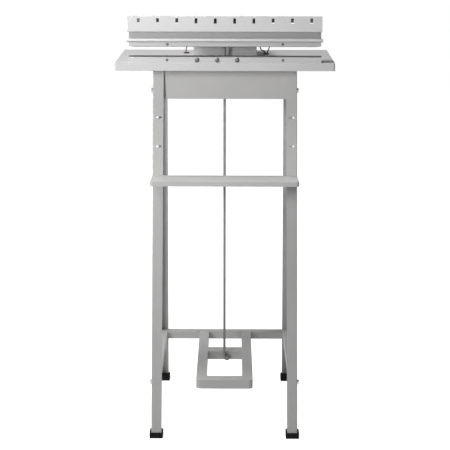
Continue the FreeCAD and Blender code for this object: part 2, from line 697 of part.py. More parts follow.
# Head cover: folded sheet with a row of upright vent slots
t = S.cover_sheet
section = [(S.cover_front, S.cover_bottom), (WEB_FRONT, S.cover_bottom), (WEB_FRONT, S.cover_bottom + t),
           (S.cover_front + t, S.cover_bottom + t), (S.cover_front + t, S.cover_top - t),
           (S.cover_rear - t, S.cover_top - t), (S.cover_rear - t, S.cover_top - S.cover_lip),
           (S.cover_rear, S.cover_top - S.cover_lip), (S.cover_rear, S.cover_top), (S.cover_front, S.cover_top)]
cover_body = pad("YZ", section, [t, 0, 0, 0, 0, 0, 0, 0, t, t], "2 * cover_half", None)
vents = []
for index in range(int(S.vent_count)):
    x = (index - (S.vent_count - 1) / 2) * S.vent_pitch
    vents.append(box((f"{x} - vent_wide / 2", f"{x} + vent_wide / 2"),
                     ("cover_front - 1", "cover_front + cover_sheet + 1"),
                     ("cover_top - vent_top_gap - vent_tall", "cover_top - vent_top_gap")))
node("head_cover", cut(cover_body, *vents), head_pose)

# Head arm: an inverted channel from the jaw bar back to the hinge
ARM_REAR = 54.0
ARM_FRONT = -145.0
ARM_LOW = 917.0
ARM_TOP = BAR_TOP + S.sheet
TONGUE_HALF = 70.0
arm_outline = [(ARM_FRONT, ARM_TOP), (ARM_FRONT, ARM_TOP - 12), (S.hinge_y - 40, ARM_LOW),
               (ARM_REAR, ARM_LOW), (ARM_REAR, ARM_TOP)]
arm_block = pad("YZ", arm_outline, [0, 3, 12, 10, 0], "2 * arm_half", None)
arm_hollow = box(("-arm_half + sheet", "arm_half - sheet"), (f"{ARM_FRONT} - 1", f"{ARM_REAR} + 1"),
                 (f"{ARM_LOW} - 1", f"{BAR_TOP}"))
arm_tongue = box((f"{-TONGUE_HALF}", f"{TONGUE_HALF}"), (f"{WEB_FRONT}", f"{ARM_FRONT} + 5"),
                 (f"{BAR_TOP}", f"{ARM_TOP}"))
arm_upright = box((f"{-TONGUE_HALF}", f"{TONGUE_HALF}"), (f"{WEB_REAR} - sheet", f"{WEB_REAR}"),
                  (f"{BAR_TOP}", f"{ARM_TOP} + 18"))
ROD_SLOT_Y = -81.3
arm_slot = box(("rod_x - 6", "rod_x + 6"), (f"{ROD_SLOT_Y - 10}", f"{ROD_SLOT_Y + 10}"),
               (f"{BAR_TOP} - 1", f"{ARM_TOP} + 1"))
BUSH_OUTER = 7.0
bush_holes = cylinder(f"{BUSH_OUTER}", "2 * arm_half + 20", V(-S.arm_half - 10, S.hinge_y, S.hinge_z), V(1, 0, 0))
node("head_arm", cut(fuse(cut(arm_block, arm_hollow), arm_tongue, arm_upright), arm_slot, bush_holes), head_pose)
bushes = []
for side in SIDES:
    sleeve = cylinder(f"{BUSH_OUTER}", "sheet", V(side * (S.arm_half - S.sheet), S.hinge_y, S.hinge_z), V(side, 0, 0))
    collar = cylinder(f"{BUSH_OUTER + 2}", "1.5", V(side * S.arm_half, S.hinge_y, S.hinge_z), V(side, 0, 0))
    bore = cylinder("pin_radius + running_gap", "20", V(side * (S.arm_half - 10), S.hinge_y, S.hinge_z), V(side, 0, 0))
    bushes.append(cut(fuse(sleeve, collar), bore))
node("hinge_bushes", group(bushes), head_pose)

# Pull rod: a wire bent into an eye at its lower end, leaning forward to the head arm
ROD_END = 14.0
lean_angle = math.degrees(math.atan2(S.eye_y - S.rod_top_y, S.rod_top_z - S.eye_z))
rod_length = math.hypot(S.eye_y - S.rod_top_y, S.rod_top_z - S.eye_z) + ROD_END
rod_place = FreeCAD.Placement(V(0, S.eye_y, S.eye_z), FreeCAD.Rotation(V(1, 0, 0), lean_angle))
eye_radius = S.eye_x - S.rod_x


def eye_point(degrees):
    angle = math.radians(degrees)
    return V(S.eye_x + eye_radius * math.cos(angle), 0, eye_radius * math.sin(angle))


EYE_TURN = 250.0
stem = Part.LineSegment(V(S.rod_x, 0, rod_length), V(S.rod_x, 0, 0)).toShape()
first_half = Part.Arc(eye_point(180), eye_point(180 + EYE_TURN / 4), eye_point(180 + EYE_TURN / 2)).toShape()
second_half = Part.Arc(eye_point(180 + EYE_TURN / 2), eye_point(180 + EYE_TURN * 3 / 4),
                       eye_point(180 + EYE_TURN)).toShape()
rod_path = Part.Wire([stem, first_half, second_half])
rod_section = Part.Wire([Part.makeCircle(S.rod_radius, V(S.rod_x, 0, rod_length), V(0, 0, 1))])
pull_rod = doc.addObject("Part::Feature", "PullRod")
pull_rod.Shape = rod_path.makePipeShell([rod_section], True, False)
pull_rod.Placement = rod_place
node("pull_rod", pull_rod)


def on_rod(distance):
    """A point on the rod's axis, measured down from its upper end."""
    return rod_place.multVec(V(S.rod_x, 0, rod_length - distance))


rod_up = rod_place.Rotation.multVec(V(0, 0, 1))
NUT_GAP = 2.4
nut_bore = cylinder("rod_radius", "60", on_rod(45), rod_up)
web_cross = 20.6
nuts = [hexagon("10", "5", on_rod(distance), rod_up)
        for distance in (web_cross - NUT_GAP, web_cross - NUT_GAP - 5.2, web_cross + S.sheet + NUT_GAP + 5)]
node("rod_nuts", group([cut(nut, nut_bore) for nut in nuts]))
COLLAR_Z = 843.0
collar_distance = (on_rod(0).z - COLLAR_Z) / rod_up.z
collar_disc = cylinder("13", "5", on_rod(collar_distance), rod_up)
collar_bore = cylinder("rod_radius", "30", on_rod(collar_distance + 10), rod_up)
node("spring_collar", cut(collar_disc, collar_bore))

# Return spring between the bottom cover's bush and the collar
SPRING_BOTTOM = S.box_bottom - 3 + 3 * S.sheet + 2
SPRING_TOP = 840.0
spring_spot = V(S.rod_x, rod_y((SPRING_BOTTOM + SPRING_TOP) / 2), SPRING_BOTTOM)
spring_outside = cylinder("12", f"{SPRING_TOP - SPRING_BOTTOM}", spring_spot, V(0, 0, 1))
spring_inside = cylinder("9", f"{SPRING_TOP - SPRING_BOTTOM + 2}", spring_spot - V(0, 0, 1), V(0, 0, 1))
node("return_spring", cut(spring_outside, spring_inside))

# Pedal: a pressed channel with two arms, hinged inside the cross bar
bar_inner = S.pedal_front + S.pedal_bar_depth


def pedal_outline(inset):
    outer = S.pedal_half - inset
    inner = S.pedal_inner + inset
    front = S.pedal_front + inset
    end = S.pedal_end - inset
    back = bar_inner - inset
    return [(-outer, end), (-outer, front), (outer, front), (outer, end),
            (inner, end), (inner, back), (-inner, back), (-inner, end)]


def pedal_radii(inset):
    return [0, S.pedal_round - inset, S.pedal_round - inset, 0, 0, 4 + inset, 4 + inset, 0]


pedal_low = S.pedal_top - S.pedal_tall
pedal_block = pad("XY", pedal_outline(0), pedal_radii(0), "pedal_tall", pedal_low)
pedal_hollow = pad("XY", pedal_outline(S.sheet), pedal_radii(S.sheet), "pedal_tall - sheet + 1", pedal_low - 1)
TONGUE_WIDE = 9.5
TONGUE_TALL = 5.5
tongues = []
tongue_holes = []
for side in SIDES:
    low = side * arm_middle - TONGUE_WIDE
    tongues.append(box((f"{low}", f"{low + 2 * TONGUE_WIDE}"), ("pedal_end - sheet", "pivot_y"),
                       (f"pivot_z - {TONGUE_TALL}", f"pivot_z + {TONGUE_TALL}")))
    tongues.append(cylinder(f"{TONGUE_TALL}", f"{2 * TONGUE_WIDE}", V(low, S.pivot_y, S.pivot_z), V(1, 0, 0)))
    tongue_holes.append(cylinder("pivot_radius + running_gap", f"{2 * TONGUE_WIDE + 2}",
                                 V(low - 1, S.pivot_y, S.pivot_z), V(1, 0, 0)))
node("pedal_frame", cut(fuse(cut(pedal_block, pedal_hollow), *tongues), *tongue_holes))
section = [(S.member_front, S.pedal_top), (S.member_front, pedal_low), (S.member_front + S.sheet, pedal_low),
           (S.member_front + S.sheet, S.pedal_top - S.sheet), (S.member_rear - S.sheet, S.pedal_top - S.sheet),
           (S.member_rear - S.sheet, pedal_low), (S.member_rear, pedal_low), (S.member_rear, S.pedal_top)]
member = pad("YZ", section, [S.sheet, 0, 0, 0, 0, 0, 0, S.sheet], "2 * pedal_inner", None)
EYE_BOLT = 2.4
member_hole = cylinder(f"{EYE_BOLT}", "10", V(S.eye_x, S.member_front - 4, S.eye_z), BACK)
node("pedal_cross_member", cut(member, member_hole))
bolt_front = S.eye_y - S.rod_radius - 1.6
eye_bolt_parts = [
    hexagon("8", "3.5", V(S.eye_x, bolt_front - 3.5, S.eye_z), BACK),
    cylinder(f"{EYE_BOLT}", f"{S.member_front + S.sheet + 6 - bolt_front}", V(S.eye_x, bolt_front - 0.5, S.eye_z), BACK),
    hexagon("8", "4", V(S.eye_x, S.member_front + S.sheet, S.eye_z), BACK),
]
node("pedal_eye_bolt", fuse(*eye_bolt_parts))

# Electrical pieces inside the box
floor_z = S.box_bottom + 2 * S.sheet
CORE_X = -92.0
CORE_Y = 30.0
core_block = box((f"{CORE_X - 33}", f"{CORE_X + 33}"), (f"{CORE_Y - 17}", f"{CORE_Y + 17}"),
                 (f"{floor_z}", f"{floor_z + 55}"))
windows = [box((f"{CORE_X + way * 16.5 - 5.5}", f"{CORE_X + way * 16.5 + 5.5}"),
               (f"{CORE_Y - 18}", f"{CORE_Y + 18}"), (f"{floor_z + 11}", f"{floor_z + 44}"))
           for way in (-1, 1)]
node("transformer_core", cut(core_block, *windows))
coil_block = box((f"{CORE_X - 21.8}", f"{CORE_X + 21.8}"), (f"{CORE_Y - 27}", f"{CORE_Y + 27}"),
                 (f"{floor_z + 11.2}", f"{floor_z + 43.8}"))
coil_hollow = box((f"{CORE_X - 11.2}", f"{CORE_X + 11.2}"), (f"{CORE_Y - 17.2}", f"{CORE_Y + 17.2}"),
                  (f"{floor_z}", f"{floor_z + 55}"))
node("transformer_coil", cut(coil_block, coil_hollow))
BOARD = (30.0, 120.0, -20.0, 45.0)
SPACER_TALL = 8.0
spacers = [cylinder("3", f"{SPACER_TALL}", V(x, y, floor_z), V(0, 0, 1))
           for x in (BOARD[0] + 5, BOARD[1] - 5) for y in (BOARD[2] + 5, BOARD[3] - 5)]
board_z = floor_z + SPACER_TALL
board = box((f"{BOARD[0]}", f"{BOARD[1]}"), (f"{BOARD[2]}", f"{BOARD[3]}"), (f"{board_z}", f"{board_z + 1.6}"))
relay = box((f"{BOARD[0] + 10}", f"{BOARD[0] + 38}"), (f"{BOARD[2] + 12}", f"{BOARD[2] + 24}"),
            (f"{board_z + 1}", f"{board_z + 16}"))
capacitors = [cylinder("5", "13", V(BOARD[1] - 25 + 13 * number, BOARD[2] + 20, board_z + 1), V(0, 0, 1))
              for number in range(2)]
node("timer_board", fuse(board, relay, *capacitors, *spacers))
strip_block = box(("55", "115"), ("-95", "-77"), (f"{floor_z}", f"{floor_z + 16}"))
strip_wells = [cylinder("3", "10", V(62 + 12 * number, -86, floor_z + 9), V(0, 0, 1)) for number in range(5)]
node("terminal_block", cut(strip_block, *strip_wells))
switch_body = box(("18", "28"), (f"{bush_y - 14}", f"{bush_y + 14}"), (f"{floor_z}", f"{floor_z + 16}"))
switch_button = box(("15", "18"), (f"{bush_y - 3}", f"{bush_y + 3}"), (f"{floor_z + 9}", f"{floor_z + 12}"))
node("stroke_switch", fuse(switch_body, switch_button))

# Controls on the rear wall of the box
bezel = pad("XZ", rectangle(SWITCH_X - 15.5, SWITCH_X + 15.5, PANEL_Z - 11.5, PANEL_Z + 11.5), 2.0, "2.2",
            -(S.box_rear + 2.2))
switch_case = box((f"{SWITCH_X - 13.3}", f"{SWITCH_X + 13.3}"), ("box_rear - 20", "box_rear + 1"),
                  (f"{PANEL_Z - 9.3}", f"{PANEL_Z + 9.3}"))
ROCKER_LONG = 22.0
ROCKER_TALL = 13.0
switch_well = box((f"{SWITCH_X - ROCKER_LONG / 2 - 0.6}", f"{SWITCH_X + ROCKER_LONG / 2 + 0.6}"),
                  ("box_rear - 9", "box_rear + 5"),
                  (f"{PANEL_Z - ROCKER_TALL / 2 - 0.6}", f"{PANEL_Z + ROCKER_TALL / 2 + 0.6}"))
ROCKER_TILT = 8.0
ROCKER_PIN = 1.5
PIN_LONG = ROCKER_TALL + 3.0
rocker_axis_y = S.box_rear - 2.0
pin_pocket = cylinder(f"{ROCKER_PIN} + running_gap", f"{PIN_LONG} + 0.4",
                      V(SWITCH_X, rocker_axis_y, PANEL_Z - PIN_LONG / 2 - 0.2), V(0, 0, 1))
node("switch_housing", cut(fuse(bezel, switch_case), switch_well, pin_pocket))
rocker_outline = [(SWITCH_X - ROCKER_LONG / 2 + 0.4, 3.8), (SWITCH_X, 2.6), (SWITCH_X + ROCKER_LONG / 2 - 0.4, 3.8),
                  (SWITCH_X + ROCKER_LONG / 2 - 1.2, -2.2), (SWITCH_X - ROCKER_LONG / 2 + 1.2, -2.2)]
rocker_cap = pad("XY", rocker_outline, 0, f"{ROCKER_TALL}", PANEL_Z - ROCKER_TALL / 2)
rocker_pin = cylinder(f"{ROCKER_PIN}", f"{PIN_LONG}", V(SWITCH_X, 0, PANEL_Z - PIN_LONG / 2), V(0, 0, 1))
rocker = fuse(rocker_cap, rocker_pin)
rocker_turn = FreeCAD.Rotation(V(0, 0, 1), ROCKER_TILT)
rocker_centre = V(SWITCH_X, 0, 0)
rocker_place = FreeCAD.Placement(V(0, rocker_axis_y, 0) + rocker_centre - rocker_turn.multVec(rocker_centre), rocker_turn)
node("power_rocker", rocker, rocker_place)
KNOB_RADIUS = 12.0
KNOB_TALL = 14.0
knob_face = V(KNOB_X, S.box_rear + 1.0, PANEL_Z)
knob_skirt = cylinder(f"{KNOB_RADIUS + 1.5}", "3", knob_face, BACK)
knob_grip = cylinder(f"{KNOB_RADIUS - 1}", f"{KNOB_TALL}", knob_face, BACK)
knob_wing = box((f"{KNOB_X - 1.6}", f"{KNOB_X + 1.6}"), (f"{S.box_rear + 3}", f"{S.box_rear + KNOB_TALL + 2}"),
                (f"{PANEL_Z - KNOB_RADIUS + 1}", f"{PANEL_Z + KNOB_RADIUS}"))
knob_shaft = cylinder("3", "12", V(KNOB_X, S.box_rear - 10, PANEL_Z), BACK)
node("timer_knob", fuse(knob_skirt, knob_grip, knob_wing, knob_shaft))
pot_body = cylinder("10", "8", V(KNOB_X, S.box_rear - S.sheet - 8.3, PANEL_Z), BACK)
pot_collar = cylinder("5", "sheet + 0.6", V(KNOB_X, S.box_rear - S.sheet - 0.5, PANEL_Z), BACK)
pot_bore = cylinder("3 + running_gap", "30", V(KNOB_X, S.box_rear - 20, PANEL_Z), BACK)
node("timer_dial_spindle", cut(fuse(pot_body, pot_collar), pot_bore))
fuse_cap = cylinder("8", "9", V(FUSE_X, S.box_rear, PANEL_Z), BACK)
fuse_tube = cylinder("6", "34", V(FUSE_X, S.box_rear - 33, PANEL_Z), BACK)
fuse_mark = box((f"{FUSE_X - 5}", f"{FUSE_X + 5}"), (f"{S.box_rear + 7.5}", f"{S.box_rear + 10}"),
                (f"{PANEL_Z - 0.8}", f"{PANEL_Z + 0.8}"))
node("fuse_holder", cut(fuse(fuse_cap, fuse_tube), fuse_mark))
gland_nut = hexagon("20", "6", V(GLAND_X, S.box_rear, PANEL_Z), BACK)
gland_dome = cylinder("8.5", "8", V(GLAND_X, S.box_rear + 5, PANEL_Z), BACK)
gland_neck = cylinder("7", "12", V(GLAND_X, S.box_rear - 10, PANEL_Z), BACK)
gland_bore = cylinder("3.6", "40", V(GLAND_X, S.box_rear - 20, PANEL_Z), BACK)
node("cable_gland", cut(fuse(gland_nut, gland_dome, gland_neck), gland_bore))

# Grommets in the table and the leads from them to the ends of the upper jaw
grommets = []
for spot in GROMMET_SPOTS:
    base = spot + V(0, 0, S.table_top_z)
    ring = cylinder(f"{GROMMET_RADIUS + 2}", "2", base, V(0, 0, 1))
    neck = cylinder(f"{GROMMET_RADIUS}", "sheet + 1.5", base - V(0, 0, S.sheet + 0.5), V(0, 0, 1))
    bore = cylinder(f"{GROMMET_RADIUS - 1.2}", "12", base - V(0, 0, 6), V(0, 0, 1))
    grommets.append(cut(fuse(ring, neck), bore))
node("lead_grommets", group(grommets))
LEADS = {
    "lead_red": [(-92, 30, 884), (-92, 30, 894), (-88, 20, 904), (-81, 0, 916), (-79.5, -34, 929),
                 (-79.5, -80, 937), (-86, -112, 939), (-112, -130, 938), (-150, -133, 936.5), (-188, -133.5, 935),
                 (-203, -133.5, 934)],
    "lead_black": [(94, 8, 884), (94, 8, 892), (91, 2, 898), (84, -10, 903), (80, -34, 917),
                   (79.5, -70, 933), (84, -106, 939.5), (108, -130, 938), (148, -133, 936.5), (188, -133.5, 935),
                   (203, -133.5, 934)],
    "lead_brown": [(98, 8, 884), (98, 8, 892), (100, 2, 900), (102, -14, 910), (101, -45, 926),
                   (104, -85, 937), (118, -118, 940), (150, -129, 939.5), (184, -130, 938.5), (203, -130, 937.5)],
}
for name, points in LEADS.items():
    lead = doc.addObject("Part::Feature", name)
    lead.Shape = tube([V(*point) for point in points], S.lead_radius)
    node(name, lead)

# Check every piece, then write it
doc.recompute()
for item in doc.Objects:
    if "Invalid" in item.State or "Error" in item.State:
        raise RuntimeError(f"{item.Label} failed: {item.State}")
os.makedirs("parts", exist_ok=True)
whole = FreeCAD.BoundBox()
for name, item in nodes:
    shape = item.Shape
    if shape.isNull() or not shape.isValid() or not shape.Solids:
        raise RuntimeError(f"{name} has no sound shape")
    whole.add(shape.BoundBox)
    shape.exportStep(f"parts/{name}.step")
print(len(nodes), "pieces, from", [round(value, 2) for value in (whole.XMin, whole.YMin, whole.ZMin)],
      "to", [round(value, 2) for value in (whole.XMax, whole.YMax, whole.ZMax)])
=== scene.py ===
import json
import math

import bmesh
import bpy
from mathutils import Matrix, Vector


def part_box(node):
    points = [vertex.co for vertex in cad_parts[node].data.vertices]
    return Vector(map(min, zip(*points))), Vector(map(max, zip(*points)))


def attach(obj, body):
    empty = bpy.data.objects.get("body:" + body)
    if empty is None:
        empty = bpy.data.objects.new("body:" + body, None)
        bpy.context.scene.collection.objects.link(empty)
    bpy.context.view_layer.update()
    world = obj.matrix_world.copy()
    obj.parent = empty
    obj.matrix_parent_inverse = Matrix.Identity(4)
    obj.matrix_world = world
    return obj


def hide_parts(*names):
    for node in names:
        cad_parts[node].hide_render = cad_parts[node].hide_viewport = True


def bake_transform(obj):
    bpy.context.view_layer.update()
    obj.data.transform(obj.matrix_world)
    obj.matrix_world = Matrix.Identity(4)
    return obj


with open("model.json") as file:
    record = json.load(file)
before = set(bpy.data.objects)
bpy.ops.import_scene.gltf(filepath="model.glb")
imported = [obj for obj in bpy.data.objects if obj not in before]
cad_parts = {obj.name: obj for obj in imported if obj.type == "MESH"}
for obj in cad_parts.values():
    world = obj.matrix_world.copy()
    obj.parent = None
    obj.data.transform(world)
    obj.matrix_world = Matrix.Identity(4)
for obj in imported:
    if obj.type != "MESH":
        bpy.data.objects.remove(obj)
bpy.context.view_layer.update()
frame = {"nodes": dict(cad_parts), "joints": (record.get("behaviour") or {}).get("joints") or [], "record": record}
nodes = frame["nodes"]
scene = bpy.context.scene
MM = 0.001

# Materials: every colour is a linear value, and every pattern is laid out in metres on the object
BEVEL_SAMPLES = 4
# Cosine of the turn that counts as a full edge
EDGE_COSINE = 0.75
# Bands per metre for each unit of the wave texture's scale
BANDS_PER_SCALE = 20 / (2 * math.pi)


class Nodes:
    """A material's node tree, with short calls to add and join nodes."""

    def __init__(self, name):
        self.material = bpy.data.materials.new(name)
        self.material.use_nodes = True
        self.tree = self.material.node_tree
        self.shader = self.tree.nodes["Principled BSDF"]
        self.place = self.add("ShaderNodeTexCoord").outputs["Object"]

    def add(self, kind, **settings):
        node = self.tree.nodes.new(kind)
        for key, value in settings.items():
            setattr(node, key, value)
        return node

    def join(self, output, target):
        self.tree.links.new(output, target)

    def stretched(self, scale):
        mapping = self.add("ShaderNodeMapping")
        mapping.inputs["Scale"].default_value = scale
        self.join(self.place, mapping.inputs["Vector"])
        return mapping.outputs["Vector"]

    def noise(self, scale, detail=3.0, place=None):
        texture = self.add("ShaderNodeTexNoise")
        texture.inputs["Scale"].default_value = scale
        texture.inputs["Detail"].default_value = detail
        self.join(place or self.place, texture.inputs["Vector"])
        return texture.outputs["Fac"]

    def ramp(self, value, low, high, start=0.3, end=0.7):
        """A colour or grey between two ends of a pattern."""
        ramp = self.add("ShaderNodeValToRGB")
        first, last = ramp.color_ramp.elements
        first.position, last.position = start, end
        first.color, last.color = (*low, 1), (*high, 1)
        self.join(value, ramp.inputs["Fac"])
        return ramp.outputs["Color"]

    def level(self, value, low, high):
        """A number between two ends of a pattern."""
        spread = self.add("ShaderNodeMapRange")
        spread.inputs["To Min"].default_value = low
        spread.inputs["To Max"].default_value = high
        self.join(value, spread.inputs["Value"])
        return spread.outputs["Result"]

    def mixed(self, factor, first, second):
        mix = self.add("ShaderNodeMix", data_type="RGBA")
        self.join(factor, mix.inputs["Factor"])
        for socket, colour in ((mix.inputs["A"], first), (mix.inputs["B"], second)):
            if isinstance(colour, tuple):
                socket.default_value = (*colour, 1)
            else:
                self.join(colour, socket)
        return mix.outputs["Result"]

    def bands(self, axis, per_metre):
        """Even bands across one axis."""
        wave = self.add("ShaderNodeTexWave", bands_direction=axis)
        wave.inputs["Scale"].default_value = per_metre / BANDS_PER_SCALE
        self.join(self.place, wave.inputs["Vector"])
        return wave.outputs["Fac"]

    def rounded(self, radius):
        """The surface's direction, with its edges rounded by a radius."""
        bevel = self.add("ShaderNodeBevel", samples=BEVEL_SAMPLES)
        bevel.inputs["Radius"].default_value = radius
        return bevel.outputs["Normal"]

    def edges(self, radius):
        """How far the surface turns within a radius: 0 on a flat, towards 1 on an edge."""
        flat = self.add("ShaderNodeNewGeometry").outputs["Normal"]
        dot = self.add("ShaderNodeVectorMath", operation="DOT_PRODUCT")
        self.join(self.rounded(radius), dot.inputs[0])
        self.join(flat, dot.inputs[1])
        turn = self.add("ShaderNodeMapRange")
        turn.inputs["From Min"].default_value = 1.0
        turn.inputs["From Max"].default_value = EDGE_COSINE
        self.join(dot.outputs["Value"], turn.inputs["Value"])
        return turn.outputs["Result"]

    def relief(self, height, depth, round_radius=0.0):
        """Bump of a depth in metres, over edges rounded by a radius."""
        bump = self.add("ShaderNodeBump")
        bump.inputs["Distance"].default_value = depth
        self.join(height, bump.inputs["Height"])
        if round_radius:
            self.join(self.rounded(round_radius), bump.inputs["Normal"])
        self.join(bump.outputs["Normal"], self.shader.inputs["Normal"])

    def set(self, **inputs):
        """Gives the shader's inputs a value, a colour or another node's output."""
        for key, value in inputs.items():
            socket = self.shader.inputs[key.replace("_", " ").title().replace("Ior", "IOR")]
            if hasattr(value, "is_output"):
                self.join(value, socket)
            else:
                socket.default_value = (*value, 1) if isinstance(value, tuple) else value


def toned(colour, share):
    """A colour made darker by a share below 1, or lighter by one above it."""
    return tuple(channel * share for channel in colour)


def paint(name, colour):
    """Powder coat: orange peel, faint mottling, handling marks, and thin film on the edges."""
    n = Nodes(name)
    mottle = n.ramp(n.noise(scale=9.0, detail=5.0), low=toned(colour, 0.94), high=colour)
    smudges = n.level(n.noise(scale=46.0, detail=6.0), low=0.0, high=0.05)
    coat = n.mixed(smudges, mottle, toned(colour, 0.5))
    worn = n.mixed(n.edges(radius=0.0008), coat, toned(colour, 1.12))
    sheen = n.level(n.noise(scale=60.0, detail=4.0), low=0.46, high=0.62)
    n.set(base_color=worn, roughness=sheen, specular_ior_level=0.28)
    n.relief(n.noise(scale=750.0, detail=2.0), depth=0.00005, round_radius=0.0009)
    return n.material


def drawn_metal(name, colour, along, rough=(0.28, 0.46), metallic=1.0):
    """Extruded or drawn metal with fine lines along one axis."""
    n = Nodes(name)
    fine = tuple(12.0 if axis == along else 1600.0 for axis in "XYZ")
    lines = n.noise(scale=1.0, detail=2.0, place=n.stretched(fine))
    tarnish = n.level(n.noise(scale=22.0, detail=4.0), low=0.0, high=0.25)
    bright = n.ramp(lines, low=toned(colour, 0.88), high=colour)
    n.set(base_color=n.mixed(tarnish, bright, toned(colour, 0.75)), metallic=metallic,
          roughness=n.level(lines, *rough))
    n.relief(lines, depth=0.00003, round_radius=0.0005)
    return n.material


def plated(name, colour, rough=(0.2, 0.42)):
    """Plated or bare bright metal with a faint crystal mottling and tool marks."""
    n = Nodes(name)
    cells = n.add("ShaderNodeTexVoronoi")
    cells.inputs["Scale"].default_value = 900.0
    n.join(n.place, cells.inputs["Vector"])
    mottle = n.noise(scale=160.0, detail=4.0)
    n.set(base_color=n.ramp(mottle, low=toned(colour, 0.7), high=colour), metallic=1.0,
          roughness=n.level(cells.outputs["Distance"], *rough))
    n.relief(mottle, depth=0.00006, round_radius=0.0004)
    return n.material


def moulded(name, colour, rough=(0.42, 0.6), grain=0.00006, gloss=0.4):
    """Plastic, rubber or ink with a fine grain and a trace of dust."""
    n = Nodes(name)
    dusty = tuple(channel * 1.25 + 0.004 for channel in colour)
    dust = n.noise(scale=70.0, detail=5.0)
    n.set(base_color=n.ramp(dust, low=colour, high=dusty, start=0.35, end=0.8),
          roughness=n.level(n.noise(scale=300.0, detail=3.0), *rough), specular_ior_level=gloss)
    n.relief(n.noise(scale=1500.0, detail=2.0), depth=grain, round_radius=0.0006)
    return n.material


def woven(name, dark, light, threads_per_metre):
    """Coated glass cloth: a plain weave of warp and weft under a glossy film."""
    n = Nodes(name)
    weave = n.add("ShaderNodeMath", operation="MULTIPLY")
    for axis, socket in zip("XY", weave.inputs):
        n.join(n.bands(axis, threads_per_metre), socket)
    crossings = weave.outputs["Value"]
    scorched = n.noise(scale=30.0, detail=4.0)
    n.set(base_color=n.mixed(scorched, n.ramp(crossings, low=dark, high=light), toned(dark, 0.8)),
          roughness=n.level(scorched, low=0.3, high=0.5))
    n.relief(crossings, depth=0.00005)
    return n.material


def laminated(name, colour, sheets_per_metre):
    """Stacked sheets or wound turns, seen as even lines across the stack."""
    n = Nodes(name)
    sheets = n.bands("Y", sheets_per_metre)
    n.set(base_color=n.ramp(sheets, low=toned(colour, 0.6), high=colour), metallic=0.8, roughness=0.5)
    n.relief(sheets, depth=0.0001)
    return n.material


# One grey paint in lit and shaded copies: GREY, the lighter, is painted light on the upper parts, and the second,
# a little darker and warmer, is painted shade on the rest of the stand
GREY = (0.57, 0.57, 0.575)
STAND_SHADE_GREY = (0.53, 0.526, 0.521)
SILVER = (0.54, 0.54, 0.545)
BLACK = (0.012, 0.012, 0.013)
grey_paint = paint("grey_paint", GREY)
stand_shade_paint = paint("stand_shade_paint", STAND_SHADE_GREY)
jaw_metal = drawn_metal("jaw_aluminium", SILVER, "X", rough=(0.42, 0.58), metallic=0.35)
zinc = plated("zinc_steel", (0.58, 0.58, 0.60))
dark_zinc = plated("dark_zinc", (0.24, 0.24, 0.25), rough=(0.3, 0.5))
# Darker copy of the jaw aluminium for the upper jaw bar: painted shade for its recess under the head cover
recess_shade_metal = drawn_metal("recess_shade_aluminium", (0.38, 0.38, 0.385), "X", rough=(0.45, 0.6), metallic=0.3)
rod_paint = paint("rod_paint", (0.33, 0.33, 0.33))
black_plastic = moulded("black_plastic", BLACK)
foot_plastic = moulded("foot_plastic", (0.005, 0.005, 0.005), rough=(0.6, 0.8), gloss=0.15)
silicone = moulded("silicone_rubber", (0.11, 0.108, 0.105), rough=(0.5, 0.7), grain=0.00003)
black_rubber = moulded("black_rubber", (0.008, 0.008, 0.008), rough=(0.5, 0.75))
VINYL = {"rough": (0.35, 0.5), "grain": 0.00002}
red_vinyl = moulded("red_vinyl", (0.34, 0.05, 0.04), **VINYL)
brown_vinyl = moulded("brown_vinyl", (0.045, 0.022, 0.014), **VINYL)
black_vinyl = moulded("black_vinyl", (0.01, 0.01, 0.01), **VINYL)
INK = {"rough": (0.4, 0.55), "grain": 0.00001}
white_ink = moulded("white_ink", (0.75, 0.75, 0.74), **INK)
dark_ink = moulded("dark_ink", (0.03, 0.03, 0.032), **INK)
brass = plated("brass", (0.62, 0.43, 0.16))
ribbon_metal = drawn_metal("ribbon_metal", (0.42, 0.39, 0.36), "X")
glass_cloth = woven("glass_cloth", (0.16, 0.085, 0.035), (0.34, 0.20, 0.09), threads_per_metre=709.61)
core_steel = laminated("core_steel", (0.22, 0.22, 0.23), sheets_per_metre=810.98)
coil_copper = laminated("coil_copper", (0.42, 0.17, 0.06), sheets_per_metre=1216.47)
board_green = moulded("board_green", (0.01, 0.07, 0.03), rough=(0.3, 0.45))

FINISHES = {
    # The CAD's grey paint gets the darker copy, painted shade for the stand below the table
    "grey_paint": stand_shade_paint,
    "aluminium_bar": jaw_metal,
    "zinc_steel": zinc,
    "black_plastic": black_plastic,
    "foot_plastic": foot_plastic,
    "silicone": silicone,
    "release_fabric": glass_cloth,
    "ribbon_metal": ribbon_metal,
    "brass": brass,
    "core_steel": core_steel,
    "coil_copper": coil_copper,
    "board_green": board_green,
    "black_rubber": black_rubber,
    "red_lead": red_vinyl,
    "brown_lead": brown_vinyl,
}
# Parts whose colour differs from their CAD finish; the table top, head cover, head arm and hinge pedestal take the
# lighter grey as painted light
PIECE_FINISHES = {
    "table_top": grey_paint,
    "head_cover": grey_paint,
    "pull_rod": rod_paint,
    "pedal_eye_bolt": rod_paint,
    "dome_screws": dark_zinc,
    "clamp_screws": dark_zinc,
    "lower_strip_screws": dark_zinc,
    # Painted shade: the darker aluminium stands for the cover's shadow on the jaw bar's recess
    "upper_jaw_bar": recess_shade_metal,
    # Painted light: the lighter grey brightens the pedestal where the head shades it
    "hinge_pedestal": grey_paint,
    "head_arm": grey_paint,
}


def finish_piece(piece, material):
    piece.data.materials.clear()
    piece.data.materials.append(material)


for part in frame["record"]["subparts"]:
    name = part["node"]
    finish_piece(nodes[name], PIECE_FINISHES.get(name, FINISHES[part["material_slot"]]))

# Places read from the frame
head_joint = next(joint for joint in frame["joints"] if joint["name"] == "head_tilt")
hinge = Vector(head_joint["pos_m"])
head_open = math.radians(max(head_joint["range_deg"]))
open_head = Matrix.Translation(hinge) @ Matrix.Rotation(-head_open, 4, "X") @ Matrix.Translation(-hinge)
WELD = 0.001 * MM
SORT_DIGITS = 4


